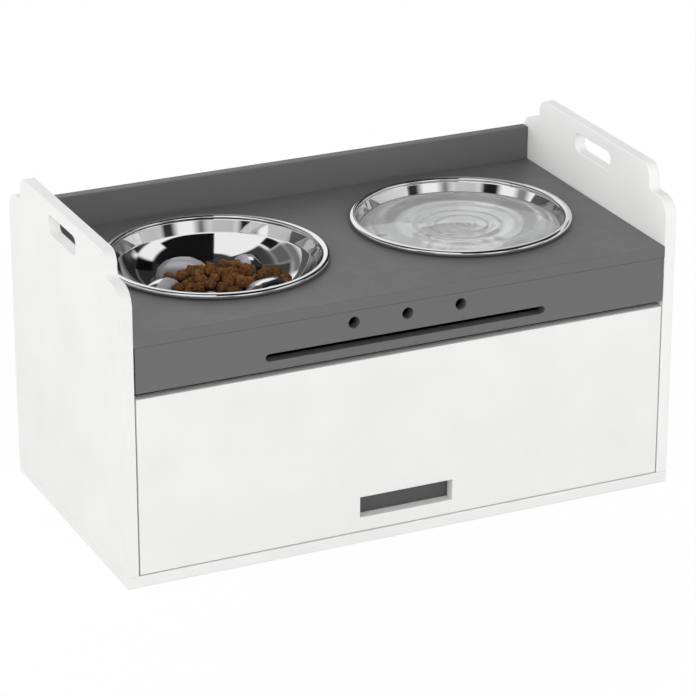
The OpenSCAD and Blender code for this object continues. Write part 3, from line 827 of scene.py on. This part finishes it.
def end_group(tree, geometry_socket, material_socket):
    """Ends a tree in Realize Instances and Set Material, as the export drops instances."""
    real = add(tree, "GeometryNodeRealizeInstances", None, {"Geometry": geometry_socket})
    painted = add(tree, "GeometryNodeSetMaterial", None,
                  {"Geometry": real.outputs["Geometry"], "Material": material_socket})
    add(tree, "NodeGroupOutput", None, {"Geometry": painted.outputs["Geometry"]})


def grow(piece, tree, **values):
    """Puts a tree on a piece with its inputs set by their identifiers, then makes the result plain."""
    modifier = piece.modifiers.new(tree.name, "NODES")
    modifier.node_group = tree
    for item in tree.interface.items_tree:
        label = item.name.replace(" ", "_").lower()
        if item.in_out == "INPUT" and label in values:
            modifier[item.identifier] = values[label]
    plain_mesh(piece)


def pinwheel_tree():
    """Repeats the stamped ridge round the bowl: each on its orbit, turned by the swirl."""
    tree, group = node_group("ridge_pinwheel", [
        ("Stamp", "NodeSocketObject", None), ("Ridges", "NodeSocketInt", 5),
        ("Orbit", "NodeSocketFloat", 0.057), ("Swirl", "NodeSocketFloat", 0.9),
        ("Phase", "NodeSocketFloat", 1.8), ("Material", "NodeSocketMaterial", None)])
    given = group.outputs
    index = add(tree, "GeometryNodeInputIndex").outputs["Index"]
    angle = calc(tree, "MULTIPLY_ADD", index, calc(tree, "DIVIDE", math.tau, given["Ridges"]), given["Phase"])
    direction = add(tree, "ShaderNodeCombineXYZ", None,
                    {"X": calc(tree, "COSINE", angle), "Y": calc(tree, "SINE", angle)}).outputs[0]
    points = add(tree, "GeometryNodePoints", None,
                 {"Count": given["Ridges"], "Position": scaled(tree, direction, given["Orbit"])})
    rotation = add(tree, "ShaderNodeCombineXYZ", None, {"Z": calc(tree, "ADD", angle, given["Swirl"])})
    shape = add(tree, "GeometryNodeObjectInfo", None, {"Object": given["Stamp"]})
    placed = add(tree, "GeometryNodeInstanceOnPoints", None,
                 {"Points": points.outputs[0], "Instance": shape.outputs["Geometry"],
                  "Rotation": rotation.outputs[0]})
    both = add(tree, "GeometryNodeJoinGeometry")
    tree.links.new(placed.outputs[0], both.inputs[0])
    tree.links.new(given["Geometry"], both.inputs[0])
    end_group(tree, both.outputs[0], given["Material"])
    return tree


def kibble_tree():
    """Puts a lumpy ball on every point of the heap, turned and sized by the point's own attributes."""
    tree, group = node_group("kibble_heap", [
        ("Lump Height", "NodeSocketFloat", 0.0012), ("Lump Size", "NodeSocketFloat", 0.006),
        ("Grain Height", "NodeSocketFloat", 0.0004), ("Material", "NodeSocketMaterial", None)])
    given = group.outputs
    ball = add(tree, "GeometryNodeMeshIcoSphere", None, {"Radius": 1.0, "Subdivisions": 3})
    size, turn = (add(tree, "GeometryNodeInputNamedAttribute", {"data_type": "FLOAT_VECTOR"},
                      {"Name": name}).outputs["Attribute"] for name in ("size", "turn"))
    placed = add(tree, "GeometryNodeInstanceOnPoints", None,
                 {"Points": given["Geometry"], "Instance": ball.outputs["Mesh"], "Rotation": turn,
                  "Scale": size})
    real = add(tree, "GeometryNodeRealizeInstances", None, {"Geometry": placed.outputs[0]})
    normal = add(tree, "GeometryNodeInputNormal").outputs["Normal"]
    where = add(tree, "GeometryNodeInputPosition").outputs["Position"]
    lumps = add(tree, "ShaderNodeTexNoise", {"normalize": False},
                {"Vector": where, "Scale": calc(tree, "DIVIDE", 1.0, given["Lump Size"]), "Detail": 1.0})
    grains = noise_of(tree, where, 2.2, {"normalize": False}, Detail=1.0)
    low = calc(tree, "MULTIPLY", lumps.outputs["Fac"], given["Lump Height"])
    both = calc(tree, "MULTIPLY_ADD", grains, given["Grain Height"], low)
    moved = add(tree, "GeometryNodeSetPosition", None,
                {"Geometry": real.outputs[0], "Offset": scaled(tree, normal, both)})
    smooth = add(tree, "GeometryNodeSetShadeSmooth", None, {"Geometry": moved.outputs[0]})
    end_group(tree, smooth.outputs[0], given["Material"])
    return tree


# ---------------------------------------------------------------- kibble and water

HEAP_MIDDLE = (8 * MM, -6 * MM)  # From the bowl's axis
HEAP_TOP = 37 * MM  # Above the bowl's floor
HEAP_FALL = 18 * MM  # From the middle to HEAP_REACH
HEAP_REACH = (72 * MM, 64 * MM)
POUR_REACH = (76 * MM, 72 * MM)  # Of the ellipse over which the pieces are poured
POURED, PLACES = 4000, 14  # Most pieces that are poured, and places tried for each


def heap_top(x, y, floor_z):
    """Highest point that the heap of kibble reaches at a place, measured from the bowl's axis."""
    fall = ((x - HEAP_MIDDLE[0]) / HEAP_REACH[0]) ** 2 + ((y - HEAP_MIDDLE[1]) / HEAP_REACH[1]) ** 2
    return floor_z + HEAP_TOP - HEAP_FALL * fall


def pour_kibble(context, floor_z, section):
    """Drops the pieces one after another, each to the lowest of a few places that are still free."""
    filling, bowls = context.scene.feeder_filling, context.scene.feeder_bowls
    rng = random.Random(filling.kibble_seed)
    crest = floor_z + bowls.ridge_height - bowls.ridge_radius
    heap = []
    tries = 0
    while len(heap) < filling.kibble_count and tries < POURED:
        tries += 1
        r = filling.kibble_radius * rng.uniform(0.88, 1.12)
        best = None
        for _ in range(PLACES):
            a, d = rng.uniform(0, math.tau), math.sqrt(rng.random())
            x = HEAP_MIDDLE[0] + POUR_REACH[0] * d * math.cos(a)
            y = HEAP_MIDDLE[1] + POUR_REACH[1] * d * math.sin(a)
            z = floor_z + r
            spine = from_ridge(bowls, x, y)
            if spine < bowls.ridge_radius + r:
                z = max(z, crest + math.sqrt((bowls.ridge_radius + r) ** 2 - spine**2))
            z = max(z, wall_height(section, floor_z, math.hypot(x, y) + 0.7 * r) + 0.7 * r)
            for bx, by, bz, br in heap:
                apart = math.hypot(x - bx, y - by)
                reach = 0.9 * (r + br)
                if apart < reach:
                    z = max(z, bz + math.sqrt(reach**2 - apart**2))
            if z + r < heap_top(x, y, floor_z) and (best is None or z < best[2]):
                best = (x, y, z, r)
        if best:
            heap.append(best)
    return heap, rng


# The standing rings in the water: radius and width in millimetres, and share of the ripples' height
RIPPLES = ((24, 3, 0.5), (30, 3.5, -0.7), (38, 4, 0.8), (45, 4, -0.6), (54, 6, 1.0), (70, 7, 0.4))
RIPPLE_MIDDLE = 4 * MM  # To the right of the bowl's axis and behind it
WATER_GAP = 0.25 * MM  # Between the water and the steel
WATER_AROUND, WATER_RINGS = 220, 92


def ripple(x, y, height):
    """Height of the water above its rest at a place, measured from the bowl's axis."""
    x, y = x - RIPPLE_MIDDLE, y - RIPPLE_MIDDLE
    r = math.hypot(x, y)
    rings = 0.35 * math.cos(math.tau * r / (6.5 * MM)) * math.exp(-r / (16 * MM))
    crests = sum(h * math.exp(-(((r - at * MM) / (w * MM)) ** 2)) for at, w, h in RIPPLES)
    slow = noise.noise(Vector((x * 0.6, y, 0.3)) / (26 * MM)) * 1.5
    return height * (rings + crests + slow)


def water_body(level, height, bowls, floor_z, section):
    """Points and faces of the water: its rippled surface, then down the wall and in over the floor."""
    count = WATER_AROUND
    edge = next(a[0] + (b[0] - a[0]) * (level - a[1]) / (b[1] - a[1])
                for a, b in zip(section, section[1:]) if a[1] <= level <= b[1]) - WATER_GAP
    points = [(0.0, 0.0, level + ripple(0.0, 0.0, height))]
    for r in (edge * k / WATER_RINGS for k in range(1, WATER_RINGS + 1)):
        calm = min(1.0, (edge - r) / (12 * MM))
        meniscus = 0.5 * MM * math.exp(-(edge - r) / (1.2 * MM))
        points.extend((x, y, level + calm * ripple(x, y, height) + meniscus)
                      for x, y, _ in circle(r, 0.0, count))
    under = [(r - WATER_GAP, z + WATER_GAP * 0.5) for r, z in reversed(section) if z < level - 1.5 * MM]
    under += [(bowls.floor_radius * k, floor_z + WATER_GAP) for k in (0.66, 0.33)]
    for r, z in under:
        points.extend(circle(r, z, count))
    points.append((0.0, 0.0, floor_z + WATER_GAP))
    layers = WATER_RINGS + len(under)
    faces = [(0, 1 + i, 1 + (i + 1) % count) for i in range(count)]
    for a in (1 + k * count for k in range(layers - 1)):
        b = a + count
        faces.extend((a + i, b + i, b + (i + 1) % count, a + (i + 1) % count) for i in range(count))
    last, pole = 1 + (layers - 1) * count, len(points) - 1
    faces.extend((last + i, pole, last + (i + 1) % count) for i in range(count))
    return points, faces


# ---------------------------------------------------------------- studio

# The studio that only the polished steel and the water see: a white room with grey and black cards, as
# (azimuth from, azimuth to, elevation from, elevation to, sRGB grey, softness), in degrees about the bowls.
CARDS = (
    (-181, 181, 77, 91, 60, 3),  # dark ceiling
    (86, 148, 28, 91, 45, 6),  # dark behind the feeder
    (146, 181, 48, 91, 55, 6),
    (-181, -165, 48, 91, 60, 6),
    (-167, -140, 30, 91, 66, 6),
    (-142, -88, 46, 91, 64, 4),
    (-142, -106, 27, 48, 100, 9),  # grey shelf at the left
    (92, 150, 6, 30, 40, 5),
    (-160, -112, 19, 30, 120, 6),
    (46, 90, 45, 91, 22, 3),  # black wall at the right
    (-23, 49, 36, 91, 20, 1),  # black flag in front
    (-106, -87, 29, 43, 24, 2),  # small black flag at the left
    (88, 108, 28, 46, 12, 3),  # small black flags at the right
    (58, 84, 14, 27, 35, 3),
    (-71, -50, -5, 22, 24, 7),  # stripes low round the room, from left to right
    (-48, -16, -5, 22, 182, 12),
    (-14, -3, -5, 22, 100, 9),
    (21, 38, -5, 22, 50, 9),
    (38, 64, -5, 22, 200, 9),
    (65, 75, -5, 22, 112, 8),
    (82, 100, -5, 22, 85, 8),
    (-108, -93, -5, 20, 140, 8),
    (-152, -132, -5, 14, 150, 8),
)


def card_share(value, low, high, soft):
    """1 inside a card's span and 0 outside it, with an even passage as wide as its softness."""
    rise = min(1.0, max(0.0, (value - low) / soft + 0.5))
    fall = min(1.0, max(0.0, (high - value) / soft + 0.5))
    return min(rise, fall)


ROOM_RADIUS = 9.0
ROOM_MIDDLE_Z = 0.26  # At the bowls
LOWEST, HIGHEST = -6, 90  # Elevations of the room's edge and its top, in degrees


def card_room():
    """The room as one dome, finely enough divided for the cards' edges."""
    points, greys = [], []
    around, upright = 360, 100
    for elevation in (LOWEST + (HIGHEST - LOWEST) * j / upright for j in range(upright + 1)):
        e = math.radians(elevation)
        for azimuth in (-180 + 360 * i / around for i in range(around)):
            a = math.radians(azimuth)
            points.append((ROOM_RADIUS * math.sin(a) * math.cos(e), -ROOM_RADIUS * math.cos(a) * math.cos(e),
                           ROOM_MIDDLE_Z + ROOM_RADIUS * math.sin(e)))
            grey = 1.0
            for a0, a1, e0, e1, level, soft in CARDS:
                share = card_share(azimuth, a0, a1, soft) * card_share(elevation, e0, e1, soft)
                grey += (to_linear(level / 255) - grey) * share
            greys.append(grey)
    faces = [f for j in range(upright) for f in band(j * around, (j + 1) * around, around)]
    room = mesh_object("card_room", points, faces, smooth=False)
    place_attribute(room.data, "grey", greys)
    return room


def lay_floor():
    """White paper under the feeder: white to the camera, with the feeder's soft shadow left in it."""
    reach, z = 8.0, -0.4 * MM
    corners = [(x * reach, y * reach, z) for x, y in ((-1, -1), (1, -1), (1, 1), (-1, 1))]
    floor = mesh_object("studio_floor", corners, [(0, 1, 2, 3)], smooth=False)
    sweep = bpy.data.materials.new("white_paper_sweep")
    tree = bare_tree(sweep)
    rays = add(tree, "ShaderNodeLightPath").outputs
    seen = calc(tree, "MAXIMUM", rays["Is Camera Ray"], rays["Is Transmission Ray"])
    paper = add(tree, "ShaderNodeBsdfDiffuse", None, {"Color": rgba((0.85, 0.85, 0.85))})
    glow = add(tree, "ShaderNodeEmission", None, {"Color": WHITE, "Strength": 1.04})
    mixed = add(tree, "ShaderNodeMixShader", None,
                {0: calc(tree, "MULTIPLY", seen, 0.86), 1: paper.outputs[0], 2: glow.outputs[0]})
    add(tree, "ShaderNodeOutputMaterial", None, {"Surface": mixed.outputs[0]})
    floor.data.materials.append(sweep)


def raise_dome(scene, horizon, zenith):
    """A sky that is brighter low round the feeder than above it, and white to the camera."""
    scene.world = bpy.data.worlds.new("white_dome")
    tree = bare_tree(scene.world)
    rays = add(tree, "ShaderNodeLightPath")
    height = add(tree, "ShaderNodeSeparateXYZ", None,
                 {"Vector": add(tree, "ShaderNodeTexCoord").outputs["Generated"]})
    slope = spread(tree, height.outputs["Z"], horizon, zenith)
    sky = add(tree, "ShaderNodeBackground", None,
              {"Color": WHITE, "Strength": mix(tree, rays.outputs["Is Camera Ray"], slope, 1.0)})
    add(tree, "ShaderNodeOutputWorld", None, {"Surface": sky.outputs[0]})


def look_along(thing, direction):
    thing.rotation_euler = direction.to_track_quat("-Z", "Y").to_euler()


def soft_lamp(name, size, power, place, target):
    """A round lamp that is turned to a target and that the steel doesn't mirror."""
    disk = bpy.data.lights.new(name, "AREA")
    disk.shape, disk.size, disk.energy = "DISK", size, power
    lamp = add_object(name, disk)
    lamp.location = place
    look_along(lamp, Vector(target) - lamp.location)
    lamp.visible_glossy = False
    return lamp


def hang_cards():
    """What the steel mirrors, darker where two pieces of steel mirror each other. The water sees it paler,
    as it scatters a little."""
    room = card_room()
    paint_of_cards = bpy.data.materials.new("studio_cards")
    tree = bare_tree(paint_of_cards)
    rays = add(tree, "ShaderNodeLightPath").outputs
    grey = kept_values(tree, "grey")
    later = calc(tree, "GREATER_THAN", rays["Glossy Depth"], 1.5)
    mirrored = calc(tree, "MULTIPLY", grey, spread(tree, later, 1.0, 0.35))
    level = mix(tree, rays["Is Transmission Ray"], mirrored, spread(tree, grey, 0.75, 1.0))
    card = add(tree, "ShaderNodeEmission", None, {"Strength": level})
    add(tree, "ShaderNodeOutputMaterial", None, {"Surface": card.outputs[0]})
    room.data.materials.append(paint_of_cards)
    room.visible_camera = room.visible_diffuse = room.visible_shadow = False


def set_camera(scene, stage):
    """The camera at the photograph's angle."""
    back = Vector((math.sin(stage.azimuth) * math.cos(stage.elevation),
                   -math.cos(stage.azimuth) * math.cos(stage.elevation), math.sin(stage.elevation)))
    target = Vector((-67.68, -161.49, 216.41)) * MM
    lens = bpy.data.cameras.new("photo_camera")
    lens.lens = stage.lens
    lens.sensor_width = 36.0
    lens.clip_end = 100.0
    camera = add_object("photo_camera", lens)
    camera.location = target + back * stage.distance
    look_along(camera, -back)
    scene.camera = camera


# ---------------------------------------------------------------- operators


class FEEDER_OT_boards(bpy.types.Operator):
    """Eases the edges of the painted boards and gives them sprayed satin lacquer"""

    bl_idname = "feeder.boards"
    bl_label = "Painted Boards"

    def execute(self, context):
        boards = context.scene.feeder_boards
        white = sprayed_lacquer("satin_white_lacquer_on_mdf", tuple(boards.white), 0.42)
        grey = sprayed_lacquer("satin_grey_lacquer_on_mdf", tuple(boards.grey), 0.46)
        # The drawer box gets a grey darkened to 0.62 of the apron's: painted shade for the recess seen through
        # the finger pull
        inner = sprayed_lacquer("satin_dark_grey_lacquer_on_mdf", shade(tuple(boards.grey), 0.62), 0.5)
        edge, fine = boards.edge_radius, boards.fine_edge_radius
        for body, finish, slot, radius, nodes in (
            ("cabinet", white, "white_paint", edge, ("base_panel", "left_side_panel", "right_side_panel")),
            ("cabinet", grey, "grey_paint", edge, ("back_panel",)),
            ("cabinet", grey, "grey_paint", fine, ("top_panel", "front_apron")),
            ("drawer", white, "white_paint", edge, ("drawer_front",)),
            ("drawer", inner, "grey_paint", fine,
             ("drawer_box_front", "drawer_left_side", "drawer_right_side", "drawer_back")),
        ):
            for node in nodes:
                board = eased_board(node, radius)
                finish_piece(board, body, finish)
                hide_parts(node)
        return {"FINISHED"}


class FEEDER_OT_woodwork(bpy.types.Operator):
    """Finishes the bare wood of the runners, stops and dowels, and the drawer's bottom sheet"""

    bl_idname = "feeder.woodwork"
    bl_label = "Bare Woodwork"

    def execute(self, context):
        along_y = planed_pine("planed_pine_along_depth", (1, 0.06, 1))
        along_x = planed_pine("planed_pine_along_width", (0.06, 1, 1))
        for node in ("left_runner", "right_runner", "drawer_stops"):
            repaint(NODES[node], along_y)
        repaint(NODES["dowels"], along_x)
        repaint(NODES["drawer_bottom"], pressed_hardboard("smooth_pressed_hardboard"))
        return {"FINISHED"}


class FEEDER_OT_fittings(bpy.types.Operator):
    """Gives the cam fittings and screws bright zinc plating"""

    bl_idname = "feeder.fittings"
    bl_label = "Fittings"

    def execute(self, context):
        zinc = zinc_plated_steel("bright_zinc_plated_steel")
        for node in ("cam_bolts", "cam_nuts", "base_screws", "runner_screws", "stop_screws",
                     "drawer_corner_screws", "drawer_front_screws"):
            repaint(NODES[node], zinc)
        return {"FINISHED"}


class FEEDER_OT_slow_bowl(bpy.types.Operator):
    """Presses the slow feeder bowl with its pinwheel of satin ridges"""

    bl_idname = "feeder.slow_bowl"
    bl_label = "Slow Feeder Bowl"

    def execute(self, context):
        pressed_bowl(context, "slow_feeder_bowl", "slow_bowl", True)
        return {"FINISHED"}


class FEEDER_OT_water_bowl(bpy.types.Operator):
    """Presses the plain water bowl"""

    bl_idname = "feeder.water_bowl"
    bl_label = "Water Bowl"

    def execute(self, context):
        pressed_bowl(context, "water_bowl", "water_bowl", False)
        return {"FINISHED"}


class FEEDER_OT_kibble(bpy.types.Operator):
    """Heaps kibble into the slow feeder bowl"""

    bl_idname = "feeder.kibble"
    bl_label = "Kibble"

    def execute(self, context):
        axis, _, _, floor_z, section = bowl_inside("slow_feeder_bowl", context.scene.feeder_bowls)
        heap, rng = pour_kibble(context, floor_z, section)
        points = [(axis.x + x, axis.y + y, z) for x, y, z, _ in heap]
        kibble = mesh_object("kibble", points, [], smooth=False)
        sizes = [r * rng.uniform(0.9, 1.08) for _, _, _, r in heap for _ in range(3)]
        turns = [rng.uniform(0, math.tau) for _ in heap for _ in range(3)]
        place_attribute(kibble.data, "size", sizes, "FLOAT_VECTOR")
        place_attribute(kibble.data, "turn", turns, "FLOAT_VECTOR")
        place_attribute(kibble.data, "tint", [rng.random() for _ in heap])
        brown = extruded_kibble("extruded_baked_kibble", tuple(context.scene.feeder_filling.kibble))
        grow(kibble, kibble_tree(), lump_height=2.1 * MM, lump_size=6 * MM, grain_height=0.8 * MM,
             material=brown)
        finish_piece(kibble, "slow_bowl")
        return {"FINISHED"}


class FEEDER_OT_water(bpy.types.Operator):
    """Fills the water bowl"""

    bl_idname = "feeder.water"
    bl_label = "Water"

    def execute(self, context):
        filling, bowls = context.scene.feeder_filling, context.scene.feeder_bowls
        axis, _, _, floor_z, section = bowl_inside("water_bowl", bowls)
        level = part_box("water_bowl")[1].z - filling.water_depth
        points, faces = water_body(level, filling.ripple_height, bowls, floor_z, section)
        water = mesh_object("water", points, faces)
        face_outwards(water.data)
        water.data.transform(Matrix.Translation((axis.x, axis.y, 0)))
        finish_piece(water, "water_bowl", poured_water("freshly_poured_tap_water"))
        return {"FINISHED"}


class FEEDER_OT_stage(bpy.types.Operator):
    """Sets the white studio: floor, dome, soft lamps, cards for the steel, and the camera"""

    bl_idname = "feeder.stage"
    bl_label = "Studio"

    def execute(self, context):
        scene, stage = context.scene, context.scene.feeder_stage
        lay_floor()
        raise_dome(scene, stage.horizon, stage.zenith)
        # The fill lights the right panel alone, for its inner face
        fill = soft_lamp("inner_fill", 0.6, stage.fill_power, (-0.8, -0.6, 0.6), (0.28, 0, 0.29))
        fill.visible_camera = False
        lit = bpy.data.collections.new("lit_by_inner_fill")
        lit.objects.link(bpy.data.objects["right_side_panel_eased"])
        fill.light_linking.receiver_collection = lit
        soft_lamp("soft_key", 1.6, stage.key, (-2.4, -1.3, 1.5), (0, 0, 0.2))
        hang_cards()
        set_camera(scene, stage)
        scene.view_settings.view_transform = "Standard"
        return {"FINISHED"}


class FEEDER_PT_sidebar(bpy.types.Panel):
    """Sizes and finishes of the dog feeder"""

    bl_label = "Dog Feeder"
    bl_space_type = "VIEW_3D"
    bl_region_type = "UI"
    bl_category = "Dog Feeder"

    def draw(self, context):
        layout = self.layout
        for name, operators in (
            ("feeder_boards", ("feeder.boards", "feeder.woodwork", "feeder.fittings")),
            ("feeder_bowls", ("feeder.slow_bowl", "feeder.water_bowl")),
            ("feeder_filling", ("feeder.kibble", "feeder.water")),
            ("feeder_stage", ("feeder.stage",)),
        ):
            box = layout.box()
            group = getattr(context.scene, name)
            for key in group.__annotations__:
                box.prop(group, key)
            for operator in operators:
                box.operator(operator)


GROUPS = {"feeder_boards": FeederBoards, "feeder_bowls": FeederBowls,
          "feeder_filling": FeederFilling, "feeder_stage": FeederStage}
CLASSES = (*GROUPS.values(), FEEDER_OT_boards, FEEDER_OT_woodwork, FEEDER_OT_fittings, FEEDER_OT_slow_bowl,
           FEEDER_OT_water_bowl, FEEDER_OT_kibble, FEEDER_OT_water, FEEDER_OT_stage, FEEDER_PT_sidebar)


def register():
    for kind in CLASSES:
        bpy.utils.register_class(kind)
    for name, kind in GROUPS.items():
        setattr(bpy.types.Scene, name, PointerProperty(type=kind))


def unregister():
    for name in GROUPS:
        delattr(bpy.types.Scene, name)
    for kind in reversed(CLASSES):
        bpy.utils.unregister_class(kind)


def main():
    register()
    bpy.ops.feeder.boards()
    bpy.ops.feeder.woodwork()
    bpy.ops.feeder.fittings()
    bpy.ops.feeder.slow_bowl()
    bpy.ops.feeder.water_bowl()
    bpy.ops.feeder.kibble()
    bpy.ops.feeder.water()
    bpy.ops.feeder.stage()


if __name__ == "__main__":
    main()
